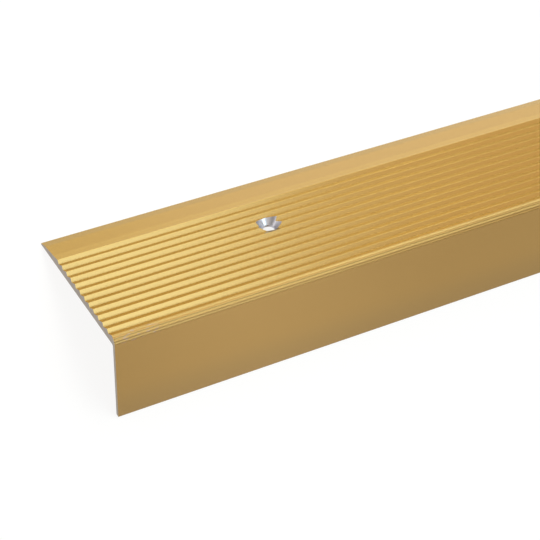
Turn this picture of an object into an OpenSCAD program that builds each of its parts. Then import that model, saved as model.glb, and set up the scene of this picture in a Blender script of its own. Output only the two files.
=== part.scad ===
/* [Profile] */
// Length of the piece
length = 1000; // [300:10:2500]
// Depth of the tread, front face to rear edge
tread_d = 52; // [48:0.5:70]
// Height of the whole profile, rib crests to foot of the leg
profile_h = 28; // [18:0.5:45]
// Thickness of the tread at the rib crests
tread_t = 3; // [2.7:0.05:4]
// Thickness of the front leg
leg_t = 1.25; // [1:0.05:1.7]
// Radius in the inside corner
inner_r = 0.6; // [0.3:0.1:2]

/* [Rear ramp] */
// Thickness left at the rear edge
rear_t = 0.45; // [0.3:0.05:0.7]
// Width of the land behind the last rib
land_w = 3.2; // [1.5:0.1:4]
// Fall of the land
land_drop = 0.65; // [0.3:0.05:0.7]
// Width of the bevel along the rear edge
bevel_w = 3.4; // [1.5:0.1:4]
// Fall of the bevel
bevel_drop = 0.95; // [0.4:0.05:1]

/* [Ribs] */
// Number of ribs
rib_count = 12; // [4:1:12]
// Distance between rib crests
rib_pitch = 3.125; // [2.4:0.025:3.175]
// Height of the ribs
rib_h = 1.15; // [0.6:0.05:1.3]
// Width of the steep face on the front of each rib
rib_front_w = 0.72; // [0.4:0.02:1.4]
// Distance from the front face to the first rib crest
first_rib = 4.8; // [4.4:0.05:5]

/* [Nose] */
// Radius of the nose
nose_r = 2.4; // [2:0.05:2.6]
// Width of the nose ahead of the ribs
nose_w = 1.95; // [1.7:0.05:2]
// Number of fine ridges round the nose
ridge_count = 4; // [3:1:5]
// Radius of each ridge
ridge_r = 0.42; // [0.3:0.02:0.5]
// Depth of the grooves between the ridges
ridge_depth = 0.2; // [0.1:0.02:0.26]

/* [Screw holes] */
// Number of holes along the tread
hole_count = 4; // [2:1:4]
// Distance from each end to the nearest hole
hole_end = 62; // [20:1:100]
// Distance from the front face to the row of holes
hole_back = 28.2; // [20:0.1:34]
// Diameter of the through hole
hole_d = 3.6; // [3:0.1:4.5]
// Diameter of the countersink at the rib crests
sink_d = 7.8; // [7:0.1:9]
// Length of the straight wall below the countersink
hole_land = 0.6; // [0.4:0.1:0.9]

/* [Hidden] */
$fn = 96;
cut = 0.5;

// Section axes: across runs back from the front face, up starts at the tread's underside
leg_drop = profile_h - tread_t;
valley_v = tread_t - rib_h;
rib_slope = rib_h / (rib_pitch - rib_front_w);
rear_rib = first_rib + (rib_count - 1) * rib_pitch;
land_end = rear_rib + land_w;
bevel_start = tread_d - bevel_w;
nose_v = tread_t - nose_r;
front_crest_v = valley_v + (first_rib - rib_front_w - nose_w) * rib_slope;
first_ridge_a = 108;
last_ridge_a = 170;
ridge_step = (last_ridge_a - first_ridge_a) / (ridge_count - 1);
sink_rate = (sink_d - hole_d) / (tread_t - hole_land);
hole_pitch = (length - 2 * hole_end) / (hole_count - 1);

// The piece lies with the nose up, on its rear edge and the foot of the leg
rest_a = atan(leg_drop / (tread_d - leg_t));
floor_drop = tread_d * sin(rest_a);
front_y = -leg_drop * sin(rest_a);
rear_y = tread_d * cos(rest_a) + rear_t * sin(rest_a);

module ribbed_plate() {
    leg = [
        [0, nose_v],
        [0, -leg_drop],
        [leg_t, -leg_drop],
        [leg_t, 0]
    ];
    rear = [
        [tread_d, 0],
        [tread_d, rear_t],
        [bevel_start, rear_t + bevel_drop],
        [land_end, tread_t - land_drop]
    ];
    ribs = [
        for (i = [rib_count - 1 : -1 : 0])
            each [
                [first_rib + i * rib_pitch, tread_t],
                [first_rib + i * rib_pitch - rib_front_w, valley_v]
            ]
    ];
    nose_core = [
        [nose_w, front_crest_v],
        [nose_w / 2, nose_v + nose_r / 2]
    ];
    polygon(concat(leg, rear, ribs, nose_core));
}

module nose() {
    intersection() {
        translate([nose_r, nose_v])
            circle(r = nose_r - ridge_depth);
        translate([0, nose_v])
            square([nose_w, nose_r]);
    }
    for (i = [0 : ridge_count - 1])
        translate([nose_r, nose_v])
            rotate(first_ridge_a + i * ridge_step)
                translate([nose_r - ridge_r, 0])
                    circle(r = ridge_r);
}

module inside_corner() {
    difference() {
        translate([leg_t - cut, -inner_r])
            square([inner_r + cut, inner_r + cut]);
        translate([leg_t + inner_r, -inner_r])
            circle(r = inner_r);
    }
}

module section() {
    ribbed_plate();
    nose();
    inside_corner();
}

module screw_hole() {
    translate([0, 0, -cut])
        cylinder(d = hole_d, h = hole_land + 2 * cut);
    translate([0, 0, hole_land])
        cylinder(
            d1 = hole_d,
            d2 = sink_d + cut * sink_rate,
            h = tread_t - hole_land + cut
        );
}

module nosing_profile() {
    color("goldenrod")
        translate([0, -(front_y + rear_y) / 2, floor_drop])
            rotate([-rest_a, 0, 0])
                difference() {
                    translate([-length / 2, 0, 0])
                        rotate([90, 0, 90])
                            linear_extrude(height = length)
                                section();
                    for (i = [0 : hole_count - 1])
                        translate([hole_end - length / 2 + i * hole_pitch, hole_back, 0])
                            screw_hole();
                }
}

nosing_profile();
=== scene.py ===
import bpy
import math
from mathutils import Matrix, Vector


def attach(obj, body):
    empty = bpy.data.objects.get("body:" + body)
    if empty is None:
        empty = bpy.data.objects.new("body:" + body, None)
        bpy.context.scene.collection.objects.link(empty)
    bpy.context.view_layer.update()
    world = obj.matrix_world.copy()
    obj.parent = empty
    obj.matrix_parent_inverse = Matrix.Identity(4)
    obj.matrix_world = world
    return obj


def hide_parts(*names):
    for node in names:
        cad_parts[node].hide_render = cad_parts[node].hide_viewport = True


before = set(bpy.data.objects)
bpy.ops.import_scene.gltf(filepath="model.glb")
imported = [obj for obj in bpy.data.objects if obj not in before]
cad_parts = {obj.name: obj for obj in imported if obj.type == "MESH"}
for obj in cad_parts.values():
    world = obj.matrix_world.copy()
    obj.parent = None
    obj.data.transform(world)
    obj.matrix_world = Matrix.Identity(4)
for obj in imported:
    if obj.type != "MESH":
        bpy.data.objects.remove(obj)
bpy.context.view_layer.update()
print("frame loaded:", ", ".join(sorted(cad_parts)))

millimetre = 0.001   # the piece's sizes are in millimetres and the scene is in metres


class Wire:
    # one socket of a node tree, ready to stand in a sum
    def __init__(self, bench, socket):
        self.bench = bench
        self.socket = socket

    def maths(self, operation, *others):
        return self.bench.maths(operation, self, *others)

    def __add__(self, other):
        return self.bench.maths("ADD", self, other)

    def __radd__(self, other):
        return self.bench.maths("ADD", other, self)

    def __sub__(self, other):
        return self.bench.maths("SUBTRACT", self, other)

    def __rsub__(self, other):
        return self.bench.maths("SUBTRACT", other, self)

    def __mul__(self, other):
        return self.bench.maths("MULTIPLY", self, other)

    def __rmul__(self, other):
        return self.bench.maths("MULTIPLY", other, self)

    def __truediv__(self, other):
        return self.bench.maths("DIVIDE", self, other)

    def __rtruediv__(self, other):
        return self.bench.maths("DIVIDE", other, self)

    def __lt__(self, other):
        return self.bench.maths("LESS_THAN", self, other)

    def __gt__(self, other):
        return self.bench.maths("GREATER_THAN", self, other)


class Bench:
    # a node tree with one method that adds any node, and a short form of it for Math nodes
    def __init__(self, tree):
        self.tree = tree

    def node(self, kind, settings=None, values=None, out=0):
        made = self.tree.nodes.new(kind)
        for name, value in (settings or {}).items():
            if name == "choices":   # how many items an Index Switch has
                made.index_switch_items.clear()
                for _ in range(value):
                    made.index_switch_items.new()
            else:
                setattr(made, name, value)
        for key, value in (values or {}).items():
            if isinstance(value, Wire):
                self.tree.links.new(value.socket, made.inputs[key])
            else:
                made.inputs[key].default_value = value
        return Wire(self, made.outputs[out]) if made.outputs else made

    def maths(self, operation, *terms):
        return self.node("ShaderNodeMath", {"operation": operation}, dict(enumerate(terms)))


# lengths in millimetres, angles in degrees
nosing = {
    "length": 1000.0,
    "treadDepth": 52.0,
    "profileHeight": 28.0,
    "treadThick": 3.0,
    "legThick": 1.25,
    "innerRadius": 0.6,
    "rearThick": 0.45,
    "landWidth": 3.2,
    "landDrop": 0.65,
    "bevelWidth": 3.4,
    "bevelDrop": 0.95,
    "ribPitch": 3.125,
    "ribHeight": 1.15,
    "ribFront": 0.72,
    "firstRib": 4.8,
    "noseRadius": 2.4,
    "noseWidth": 1.95,
    "ridgeDepth": 0.12,
    "holeEnd": 62.0,
    "holeBack": 28.2,
    "holeAcross": 3.6,
    "sinkAcross": 7.8,
    "holeLand": 0.6,
    "edgeRound": 0.1,
    "ribRound": 0.05,
    "footRound": 0.2,
    "creaseRound": 1.5,
}
nosingAngles = {"firstRidge": 108.0, "lastRidge": 170.0}
nosingCounts = {
    "ribCount": 12,
    "ridgeCount": 4,
    "nosePoints": 72,
    "roundSteps": 3,
    "holeCount": 4,
    "holeSides": 96,
}

noiseMiddle = 0.5   # what a noise comes to on average
noiseFade = 0.6     # how much of its strength each finer layer of a noise keeps


def shaderBench(name):
    material = bpy.data.materials.new(name)
    material.use_nodes = True
    material.node_tree.nodes.clear()
    return material, Bench(material.node_tree)


def surface(b, values):
    shader = b.node("ShaderNodeBsdfPrincipled", values=values)
    b.node("ShaderNodeOutputMaterial", values={"Surface": shader})


def split(b, vector, parts=3):
    return [b.node("ShaderNodeSeparateXYZ", values={0: vector}, out=k) for k in range(parts)]


def sectionPlace(b):
    # turns the piece's own coordinates back to its section:
    # x along, y back from the front face, z up from the tread's underside
    legDrop = nosing["profileHeight"] - nosing["treadThick"]
    lean = math.atan(legDrop / (nosing["treadDepth"] - nosing["legThick"]))
    frontY = -legDrop * math.sin(lean)
    rearY = nosing["treadDepth"] * math.cos(lean) + nosing["rearThick"] * math.sin(lean)
    back = (frontY + rearY) / 2 * millimetre
    rise = nosing["treadDepth"] * math.sin(lean) * millimetre
    return b.node("ShaderNodeMapping", {"vector_type": "POINT"}, {
        "Vector": b.node("ShaderNodeTexCoord", out="Object"),
        "Rotation": (lean, 0.0, 0.0),
        "Location": (
            0.0,
            back * math.cos(lean) + rise * math.sin(lean),
            back * math.sin(lean) - rise * math.cos(lean))})


def stretched(b, place, scale, stretch, detail):
    spread = b.node("ShaderNodeVectorMath", {"operation": "MULTIPLY"}, {0: place, 1: stretch})
    return b.node("ShaderNodeTexNoise", values={
        "Vector": spread, "Scale": scale, "Detail": detail, "Roughness": noiseFade})


def blend(b, factor, first, second):
    return b.node("ShaderNodeMix", {"data_type": "RGBA"}, {0: factor, 6: first, 7: second}, out=2)


def band(b, value, low, high):
    return b.node("ShaderNodeMapRange", {"interpolation_type": "SMOOTHSTEP"}, {
        "Value": value, "From Min": low, "From Max": high})


def past(b, place, line, edge):
    # 0 before a line of the section and 1 past it, with a soft edge from edge[0] to edge[1] beside the line
    return band(b, place, (line + edge[0]) * millimetre, (line + edge[1]) * millimetre)


def bumped(b, height, strength, depth, **under):
    return b.node("ShaderNodeBump", values={
        "Strength": strength, "Distance": depth * millimetre, "Height": height, **under})


# in every finish a noise is its scale, its stretch along the section's axes and its detail;
# edges, pitches and depths are in millimetres
goldFinish = {
    "gold": (0.361, 0.224, 0.0745, 1.0),
    "deepGold": (0.341, 0.208, 0.0680, 1.0),
    # painted highlight colour for the rib crests
    "crestHighlightGold": (0.400, 0.270, 0.100, 1.0),
    # painted reflection colour for the strip behind the ribs
    "landReflectionGold": (0.384, 0.238, 0.0710, 1.0),
    # painted shade colour for the foot of the leg
    "footShadeGold": (0.312, 0.199, 0.0740, 1.0),
    "scuffed": (0.325, 0.215, 0.135, 1.0),
    "edgeTint": (1.0, 0.92, 0.72, 1.0),
    "lineNoise": (900.0, (0.003, 1.0, 1.0), 3.0),
    "driftNoise": (22.0, (0.5, 1.0, 1.0), 2.0),
    "grainNoise": (3200.0, (1.0, 1.0, 1.0), 1.0),
    "spotNoise": (2000.0, (0.4, 1.0, 1.0), 0.0),
    "lineTone": 0.8,
    "driftTone": 0.9,
    "grainTone": 0.35,
    "toneRange": (-0.5, 0.5),
    # strength of the painted highlight on the rib crests
    "crestHighlight": 0.3,
    "crestEdge": (-0.10, -0.02),      # up, from the rib crests
    "landFront": (-0.175, 0.125),     # back, from the last rib
    "landRear": (-0.375, 0.325),      # back, from the rear of the land
    "footFade": (0.0, 13.0),          # up, from the foot of the leg
    "noseFoot": (-0.10, 0.10),        # up, from the lower end of the nose
    "noseRear": (-0.15, 0.15),        # back, from the rear of the nose
    "scuffStart": (1.5, 3.0),         # along, from the near end
    "scuffStop": (11.0, 15.0),
    "scuffSpots": (0.60, 0.70),
    "roughness": 0.23,
    "noseRoughness": 0.32,
    "lineRoughness": 0.08,
    "driftRoughness": 0.05,
    "coat": 0.1,
    "coatRoughness": 0.23,
    "lineBump": 0.04,
    "lineDepth": 0.2,
    "grainBump": 0.03,
    "grainDepth": 0.1,
}


def goldAnodised():
    material, b = shaderBench("goldAnodised")
    place = sectionPlace(b)
    along, back, up = split(b, place)
    lines = stretched(b, place, *goldFinish["lineNoise"])      # draw lines left by the die
    drift = stretched(b, place, *goldFinish["driftNoise"])     # slow drift of the dye
    grain = stretched(b, place, *goldFinish["grainNoise"])     # etched satin grain
    spots = stretched(b, place, *goldFinish["spotNoise"])

    # painted highlight on the rib crests, and a painted reflection that makes the strip behind the ribs a
    # shade lighter
    crest = past(b, up, nosing["treadThick"], goldFinish["crestEdge"])
    rearRib = nosing["firstRib"] + (nosingCounts["ribCount"] - 1) * nosing["ribPitch"]
    landFront = past(b, back, rearRib, goldFinish["landFront"])
    landRear = past(b, back, rearRib + nosing["landWidth"], goldFinish["landRear"])
    landReflection = landFront * (1 - landRear)

    # painted shade: the gold darkens and greys towards the foot of the leg
    footShade = 1 - past(b, up, nosing["treadThick"] - nosing["profileHeight"], goldFinish["footFade"])

    # the nose is duller, with a few rubs by the near end
    noseFoot = past(b, up, nosing["treadThick"] - nosing["noseRadius"], goldFinish["noseFoot"])
    noseRear = past(b, back, nosing["noseWidth"], goldFinish["noseRear"])
    nose = noseFoot * (1 - noseRear)
    nearEnd = -nosing["length"] / 2
    scuffStart = past(b, along, nearEnd, goldFinish["scuffStart"])
    scuffStop = past(b, along, nearEnd, goldFinish["scuffStop"])
    scuffs = nose * scuffStart * (1 - scuffStop) * band(b, spots, *goldFinish["scuffSpots"])

    tone = (lines - noiseMiddle) * goldFinish["lineTone"]
    tone += (drift - noiseMiddle) * goldFinish["driftTone"]
    tone += (grain - noiseMiddle) * goldFinish["grainTone"]
    colour = blend(b, band(b, tone, *goldFinish["toneRange"]), goldFinish["deepGold"], goldFinish["gold"])
    # painted highlight along the rib crests, broken by the draw lines
    colour = blend(b, crest * lines * goldFinish["crestHighlight"], colour, goldFinish["crestHighlightGold"])
    # painted reflection: the strip behind the ribs is a shade lighter
    colour = blend(b, landReflection, colour, goldFinish["landReflectionGold"])
    # painted shade towards the foot of the leg
    colour = blend(b, footShade, colour, goldFinish["footShadeGold"])
    colour = blend(b, scuffs, colour, goldFinish["scuffed"])
    roughness = goldFinish["roughness"] + nose * (goldFinish["noseRoughness"] - goldFinish["roughness"])
    roughness += (lines - noiseMiddle) * goldFinish["lineRoughness"]
    roughness += (drift - noiseMiddle) * goldFinish["driftRoughness"]
    lineBump = bumped(b, lines, goldFinish["lineBump"], goldFinish["lineDepth"])
    surface(b, {
        "Base Color": colour,
        "Metallic": 1.0,
        "Roughness": roughness,
        "Normal": bumped(b, grain, goldFinish["grainBump"], goldFinish["grainDepth"], Normal=lineBump),
        "Specular Tint": goldFinish["edgeTint"],
        "Coat Weight": goldFinish["coat"],
        "Coat Roughness": goldFinish["coatRoughness"]})
    return material


sawnFinish = {
    "metal": (0.27, 0.228, 0.190, 1.0),
    "bright": (0.40, 0.345, 0.295, 1.0),
    "bladeLean": 0.45,                # radians
    "markNoise": (5200.0, (1.0, 1.0, 0.04), 2.0),
    "patchNoise": (300.0, (1.0, 1.0, 1.0), 1.0),
    "markTone": 0.7,
    "patchTone": 0.3,
    "toneRange": (0.35, 0.65),
    "roughness": 0.40,
    "brightRoughness": 0.1,
    "markBump": 0.25,
    "markDepth": 0.1,
}


def sawnEnd():
    material, b = shaderBench("sawnEnd")
    place = sectionPlace(b)
    leaning = b.node("ShaderNodeMapping", {"vector_type": "POINT"}, {
        "Vector": place, "Rotation": (sawnFinish["bladeLean"], 0.0, 0.0)})
    marks = stretched(b, leaning, *sawnFinish["markNoise"])    # blade marks across the cut
    patches = stretched(b, place, *sawnFinish["patchNoise"])
    mixed = marks * sawnFinish["markTone"] + patches * sawnFinish["patchTone"]
    tone = band(b, mixed, *sawnFinish["toneRange"])
    surface(b, {
        "Base Color": blend(b, tone, sawnFinish["metal"], sawnFinish["bright"]),
        "Metallic": 1.0,
        "Roughness": sawnFinish["roughness"] + tone * sawnFinish["brightRoughness"],
        "Normal": bumped(b, marks, sawnFinish["markBump"], sawnFinish["markDepth"])})
    return material


sinkFinish = {
    "metal": (0.40, 0.39, 0.43, 1.0),
    "bright": (0.56, 0.55, 0.59, 1.0),
    "wobbleNoise": (900.0, (1.0, 1.0, 1.0), 1.0),
    "ringPitch": 0.16,
    "ringWobble": 1.5,                # radians
    "ringTone": 0.5,
    "wobbleTone": 0.4,
    "roughness": 0.27,
    "wobbleRoughness": 0.1,
    "ringBump": 0.1,
    "ringDepth": 0.05,
    "crease": 30.0,                   # degrees, sharper edges of the sink stay crisp
}


def turnedSink():
    material, b = shaderBench("turnedSink")
    place = sectionPlace(b)
    along, back = split(b, place, 2)
    first = (nosing["length"] / 2 - nosing["holeEnd"]) * millimetre
    pitch = 2 * first / (nosingCounts["holeCount"] - 1)
    fromHole = (along + first + pitch / 2).maths("FLOORED_MODULO", pitch) - pitch / 2
    fromAxis = back - nosing["holeBack"] * millimetre
    radius = (fromHole * fromHole + fromAxis * fromAxis).maths("SQRT")
    wobble = stretched(b, place, *sinkFinish["wobbleNoise"])
    ringTurn = 2 * math.pi / (sinkFinish["ringPitch"] * millimetre)
    wave = (radius * ringTurn + wobble * sinkFinish["ringWobble"]).maths("SINE")
    rings = wave * 0.5 + 0.5          # tool rings, 0 to 1
    tone = rings * sinkFinish["ringTone"] + wobble * sinkFinish["wobbleTone"]
    surface(b, {
        "Base Color": blend(b, tone, sinkFinish["metal"], sinkFinish["bright"]),
        "Metallic": 1.0,
        "Roughness": sinkFinish["roughness"] + wobble * sinkFinish["wobbleRoughness"],
        "Normal": bumped(b, rings, sinkFinish["ringBump"], sinkFinish["ringDepth"])})
    return material


def nosingTree(gold, sawn, turned):
    tree = bpy.data.node_groups.new("nosingProfile", "GeometryNodeTree")
    tree.interface.new_socket("Geometry", in_out="OUTPUT", socket_type="NodeSocketGeometry")
    socketIds = {}
    kinds = {"NodeSocketFloat": [*nosing, *nosingAngles], "NodeSocketInt": [*nosingCounts]}
    for kind, names in kinds.items():
        for name in names:
            made = tree.interface.new_socket(name, in_out="INPUT", socket_type=kind)
            socketIds[name] = made.identifier
    b = Bench(tree)
    s = {name: b.node("NodeGroupInput", out=name) for name in socketIds}

    # section axes: x runs back from the front face, y up from the tread's underside
    def point(x, y):
        return b.node("ShaderNodeCombineXYZ", values={0: x, 1: y, 2: 0.0})

    legDrop = s["profileHeight"] - s["treadThick"]
    valleyUp = s["treadThick"] - s["ribHeight"]
    noseUp = s["treadThick"] - s["noseRadius"]
    rearRib = s["firstRib"] + (s["ribCount"] - 1) * s["ribPitch"]

    # eight plain corners with their radii, front face round to the land behind the ribs
    index = b.node("GeometryNodeInputIndex")
    corners = [
        (0.0, noseUp, s["edgeRound"]),
        (0.0, -1 * legDrop, s["footRound"]),
        (s["legThick"], -1 * legDrop, s["edgeRound"]),
        (s["legThick"], 0.0, s["innerRadius"]),
        (s["treadDepth"], 0.0, s["edgeRound"]),
        (s["treadDepth"], s["rearThick"], s["edgeRound"]),
        (s["treadDepth"] - s["bevelWidth"], s["rearThick"] + s["bevelDrop"], s["creaseRound"]),
        (rearRib + s["landWidth"], s["treadThick"] - s["landDrop"], s["creaseRound"]),
    ]
    cornerSpot = b.node("GeometryNodeIndexSwitch", {"data_type": "VECTOR", "choices": len(corners)},
                        {0: index, **{i + 1: point(x, y) for i, (x, y, r) in enumerate(corners)}})
    cornerRound = b.node("GeometryNodeIndexSwitch", {"data_type": "FLOAT", "choices": len(corners)},
                         {0: index, **{i + 1: r for i, (x, y, r) in enumerate(corners)}})

    # saw-tooth ribs, crest and valley by turns, rear to front
    rib = index - len(corners)
    isValley = rib.maths("MODULO", 2.0)
    crestBack = rearRib - (rib / 2).maths("FLOOR") * s["ribPitch"]
    ribSpot = point(crestBack - isValley * s["ribFront"], s["treadThick"] - isValley * s["ribHeight"])

    # fine round ridges on the nose, a wave round the arc; the last ridge runs out into the front face
    ribSlope = s["ribHeight"] / (s["ribPitch"] - s["ribFront"])
    frontUp = valleyUp + (s["firstRib"] - s["ribFront"] - s["noseWidth"]) * ribSlope
    startTurn = (frontUp - noseUp).maths("ARCTAN2", s["noseWidth"] - s["noseRadius"])
    noseFirst = 2 * s["ribCount"] + len(corners)
    turn = startTurn + (math.pi - startTurn) * (index - noseFirst) / (s["nosePoints"] - 1)
    ridgeStep = (s["lastRidge"] - s["firstRidge"]) / (s["ridgeCount"] - 1)
    ridgeTurn = turn.maths("MINIMUM", s["lastRidge"]) - s["firstRidge"]
    wave = (ridgeTurn / ridgeStep * (2 * math.pi)).maths("COSINE")
    reach = s["noseRadius"] - (1 - wave) / 2 * s["ridgeDepth"]
    noseSpot = point(s["noseRadius"] + reach * turn.maths("COSINE"), noseUp + reach * turn.maths("SINE"))

    # the closed outline, corners first, then ribs, then nose
    isCorner = index < len(corners)
    isNose = index > noseFirst - 0.5   # half a step back, so that the first nose point counts
    upper = b.node("GeometryNodeSwitch", {"input_type": "VECTOR"}, {0: isNose, 1: ribSpot, 2: noseSpot})
    spot = b.node("GeometryNodeSwitch", {"input_type": "VECTOR"}, {0: isCorner, 1: upper, 2: cornerSpot})
    rounding = b.node("GeometryNodeSwitch", {"input_type": "FLOAT"},
                      {0: isCorner, 1: s["ribRound"] * (1 - isNose), 2: cornerRound})
    points = b.node("GeometryNodePoints", values={"Count": noseFirst + s["nosePoints"], "Position": spot})
    outline = b.node("GeometryNodePointsToCurves", values={"Points": points})
    outline = b.node("GeometryNodeSetSplineCyclic", values={"Geometry": outline, "Cyclic": True})
    outline = b.node("GeometryNodeFilletCurve", {"mode": "POLY"}, {
        "Curve": outline, "Count": s["roundSteps"], "Radius": rounding, "Limit Radius": True})

    # the section drawn out along X
    half = s["length"] / 2
    run = b.node("GeometryNodeCurvePrimitiveLine", {"mode": "POINTS"}, {
        "Start": point(-1 * half, 0.0), "End": point(half, 0.0)})
    bar = b.node("GeometryNodeCurveToMesh", values={
        "Curve": run, "Profile Curve": outline, "Fill Caps": True})
    bar = b.node("GeometryNodeTransform", values={"Geometry": bar, "Rotation": (math.pi, 0.0, 0.0)})
    bar = b.node("GeometryNodeSetMaterial", values={"Geometry": bar, "Material": gold})

    # countersunk drill: a cylinder of three rings, each set to its own height and width
    blank = b.node("GeometryNodeMeshCylinder", values={
        "Vertices": s["holeSides"], "Side Segments": 2, "Radius": 1.0, "Depth": 2.0})
    x, y, z = split(b, b.node("GeometryNodeInputPosition"))
    ring = (z + 1).maths("ROUND")
    sinkRate = (s["sinkAcross"] - s["holeAcross"]) / (s["treadThick"] - s["holeLand"])
    ringWide = b.node("GeometryNodeIndexSwitch", {"data_type": "FLOAT", "choices": 3}, {
        0: ring, 1: s["holeAcross"], 2: s["holeAcross"], 3: s["sinkAcross"] + s["holeLand"] * sinkRate})
    ringUp = b.node("GeometryNodeIndexSwitch", {"data_type": "FLOAT", "choices": 3}, {
        0: ring, 1: -1 * s["holeLand"], 2: s["holeLand"], 3: s["treadThick"] + s["holeLand"]})
    ringSpot = b.node("ShaderNodeCombineXYZ", values={0: x * ringWide / 2, 1: y * ringWide / 2, 2: ringUp})
    drill = b.node("GeometryNodeSetPosition", values={"Geometry": blank, "Position": ringSpot})
    drill = b.node("GeometryNodeSetMaterial", values={"Geometry": drill, "Material": turned})

    # a row of drills, cut out of the bar
    holePitch = (s["length"] - 2 * s["holeEnd"]) / (s["holeCount"] - 1)
    row = b.node("GeometryNodeMeshLine", values={
        "Count": s["holeCount"],
        "Start Location": point(s["holeEnd"] - half, s["holeBack"]),
        "Offset": point(holePitch, 0.0)})
    drills = b.node("GeometryNodeInstanceOnPoints", values={"Points": row, "Instance": drill})
    drills = b.node("GeometryNodeRealizeInstances", values={"Geometry": drills})
    bar = b.node("GeometryNodeMeshBoolean", {"operation": "DIFFERENCE", "solver": "EXACT"}, {
        0: bar, 1: drills})

    # laid nose up, on the rear edge and the foot of the leg
    lean = legDrop.maths("ARCTAN2", s["treadDepth"] - s["legThick"])
    frontY = -1 * legDrop * lean.maths("SINE")
    rearY = s["treadDepth"] * lean.maths("COSINE") + s["rearThick"] * lean.maths("SINE")
    rise = s["treadDepth"] * lean.maths("SINE")
    bar = b.node("GeometryNodeTransform", values={
        "Geometry": bar,
        "Translation": b.node("ShaderNodeCombineXYZ", values={1: (frontY + rearY) / -2, 2: rise}),
        "Rotation": b.node("ShaderNodeCombineXYZ", values={0: -1 * lean})})
    bar = b.node("GeometryNodeRealizeInstances", values={"Geometry": bar})
    isEnd = x.maths("ABSOLUTE") > half - s["edgeRound"]
    bar = b.node("GeometryNodeSetMaterial", values={"Geometry": bar, "Selection": isEnd, "Material": sawn})
    b.node("NodeGroupOutput", values={0: bar})
    return tree, socketIds


def makeNosing():
    tree, socketIds = nosingTree(goldAnodised(), sawnEnd(), turnedSink())
    holder = bpy.data.objects.new("nosing", bpy.data.meshes.new("nosingStart"))
    bpy.context.scene.collection.objects.link(holder)
    modifier = holder.modifiers.new("profile", "NODES")
    modifier.node_group = tree
    for name, value in nosing.items():
        modifier[socketIds[name]] = value * millimetre
    for name, value in nosingAngles.items():
        modifier[socketIds[name]] = math.radians(value)
    for name, value in nosingCounts.items():
        modifier[socketIds[name]] = value
    depsgraph = bpy.context.evaluated_depsgraph_get()
    mesh = bpy.data.meshes.new_from_object(
        holder.evaluated_get(depsgraph), preserve_all_data_layers=True, depsgraph=depsgraph)
    holder.modifiers.clear()
    holder.data = mesh

    # only the turned sinks are smooth: rolled faces stay flat, or their edges bend the light
    mesh.set_sharp_from_angle(angle=math.radians(sinkFinish["crease"]))
    turnedSlot = mesh.materials.find("turnedSink")
    for face in mesh.polygons:
        face.use_smooth = face.material_index == turnedSlot
    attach(holder, "root")
    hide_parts("nosing_profile")
    print("nosing:", len(mesh.vertices), "points,", len(mesh.polygons), "faces")


makeNosing()

# place and clip distances in metres, turn in degrees, lens and sensor in millimetres
camera = {
    "place": (-0.62065, -0.16411, 0.39562),
    "turn": (29.0995, -13.3045, -25.5963),
    "lens": 104.008,
    "sensor": 36.0,
    "nearest": 0.01,
    "farthest": 50.0,
}


def makeCamera():
    data = bpy.data.cameras.new("camera")
    data.sensor_width = camera["sensor"]
    data.lens = camera["lens"]
    data.clip_start = camera["nearest"]
    data.clip_end = camera["farthest"]
    holder = bpy.data.objects.new("camera", data)
    holder.location = camera["place"]
    holder.rotation_euler = [math.radians(a) for a in camera["turn"]]
    bpy.context.scene.collection.objects.link(holder)
    bpy.context.scene.camera = holder
    print("camera placed")


# a pale floor in metres, with a glow of its own that keeps it white round the piece
floor = {
    "across": 40.0,
    "paint": (0.06, 0.06, 0.06, 1.0),
    "light": (1.0, 1.0, 1.0, 1.0),
    "glow": 0.895,
    "sheen": 0.5,
    "roughness": 0.35,
}


def makeFloor():
    material, b = shaderBench("paleFloor")
    surface(b, {
        "Base Color": floor["paint"],
        "Roughness": floor["roughness"],
        "Specular IOR Level": floor["sheen"],
        "Emission Color": floor["light"],
        "Emission Strength": floor["glow"]})
    half = floor["across"] / 2
    corners = [(-half, -half, 0), (half, -half, 0), (half, half, 0), (-half, half, 0)]
    mesh = bpy.data.meshes.new("floor")
    mesh.from_pydata(corners, [], [(0, 1, 2, 3)])
    mesh.materials.append(material)
    holder = bpy.data.objects.new("floor", mesh)
    bpy.context.scene.collection.objects.link(holder)
    print("floor laid")


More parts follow.
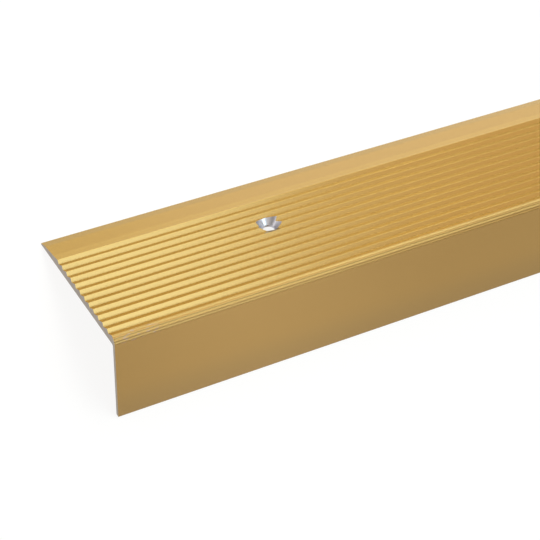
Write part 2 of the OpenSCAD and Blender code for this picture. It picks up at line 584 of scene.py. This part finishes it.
# softboxes round the near end: turn and height above the floor in degrees,
# distance and the two sides in metres, power in watts, tint
studio = {"centre": (-0.40, 0.0, 0.01), "sky": (0.30, 0.275, 0.235, 1.0)}
softboxes = {
    "keyFront": (287.9, 47, 1.5, 0.52, 0.50, 3.42, (0.67, 0.86, 1.0)),
    "frontRight": (320, 42, 1.5, 0.60, 0.50, 1.28, (1.0, 0.86, 0.60)),
    "rightHigh": (331, 68, 1.5, 0.55, 0.60, 4.4, (0.72, 0.94, 1.0)),
    "rightMid": (348, 53, 1.5, 0.60, 0.50, 3.2, (0.76, 0.94, 1.0)),
    "backRight": (40, 14, 1.5, 0.58, 0.60, 2.3, (0.92, 0.95, 1.0)),
    "backMid": (62, 14, 1.5, 0.58, 0.60, 3.5, (0.94, 0.96, 1.0)),
    "backLeft": (84, 14, 1.5, 0.58, 0.60, 2.6, (1.0, 0.96, 0.45)),
    "frontLow": (289.5, 15, 1.5, 0.20, 0.50, 1.3, (0.88, 0.90, 1.0)),
    "leftFill": (195, 40, 1.5, 0.80, 0.80, 1.0, (1.0, 1.0, 1.0)),
    "leftBack": (136, 22, 1.5, 0.80, 0.90, 3.4, (1.0, 1.0, 1.0)),
    "backTop": (97, 57, 1.5, 1.30, 0.60, 2.6, (1.0, 1.0, 1.0)),
    "leftLow": (166, 14, 1.5, 0.70, 0.50, 1.2, (1.0, 1.0, 1.0)),
    "frontLeft": (238, 22, 1.5, 1.00, 0.70, 2.6, (1.0, 1.0, 1.0)),
    "rightLow": (3, 22, 1.5, 0.60, 0.50, 0.8, (1.0, 1.0, 1.0)),
    "backHigh": (70, 47, 1.5, 0.80, 0.70, 2.7, (1.0, 0.92, 0.76)),
    "backFar": (38, 43, 1.8, 1.30, 0.80, 1.9, (1.0, 0.92, 0.76)),
    "frontHigh": (232, 64, 1.5, 1.00, 0.60, 2.0, (1.0, 0.94, 0.84)),
    "overhead": (25, 74, 1.5, 0.60, 0.70, 1.9, (1.0, 0.92, 0.76)),
    "rightFront": (309, 20, 1.5, 0.50, 0.40, 0.35, (1.0, 0.86, 0.62)),
}


def makeLight():
    world = bpy.data.worlds.new("studio")
    bpy.context.scene.world = world
    world.use_nodes = True
    world.node_tree.nodes.clear()
    b = Bench(world.node_tree)
    sky = b.node("ShaderNodeBackground", values={"Color": studio["sky"], "Strength": 1.0})
    b.node("ShaderNodeOutputWorld", values={"Surface": sky})
    for name, (turn, height, away, wide, tall, power, tint) in softboxes.items():
        data = bpy.data.lights.new(name, "AREA")
        data.shape = "RECTANGLE"
        data.size, data.size_y = wide, tall
        data.energy = power
        data.color = tint
        turn, height = math.radians(turn), math.radians(height)
        level = math.cos(height)
        toward = Vector((level * math.cos(turn), level * math.sin(turn), math.sin(height)))
        holder = bpy.data.objects.new(name, data)
        holder.location = Vector(studio["centre"]) + toward * away
        holder.rotation_euler = toward.to_track_quat("Z", "Y").to_euler()
        holder.visible_camera = False
        bpy.context.scene.collection.objects.link(holder)
    bpy.context.scene.view_settings.view_transform = "Standard"
    print("studio lit:", len(softboxes), "softboxes")


makeCamera()
makeFloor()
makeLight()
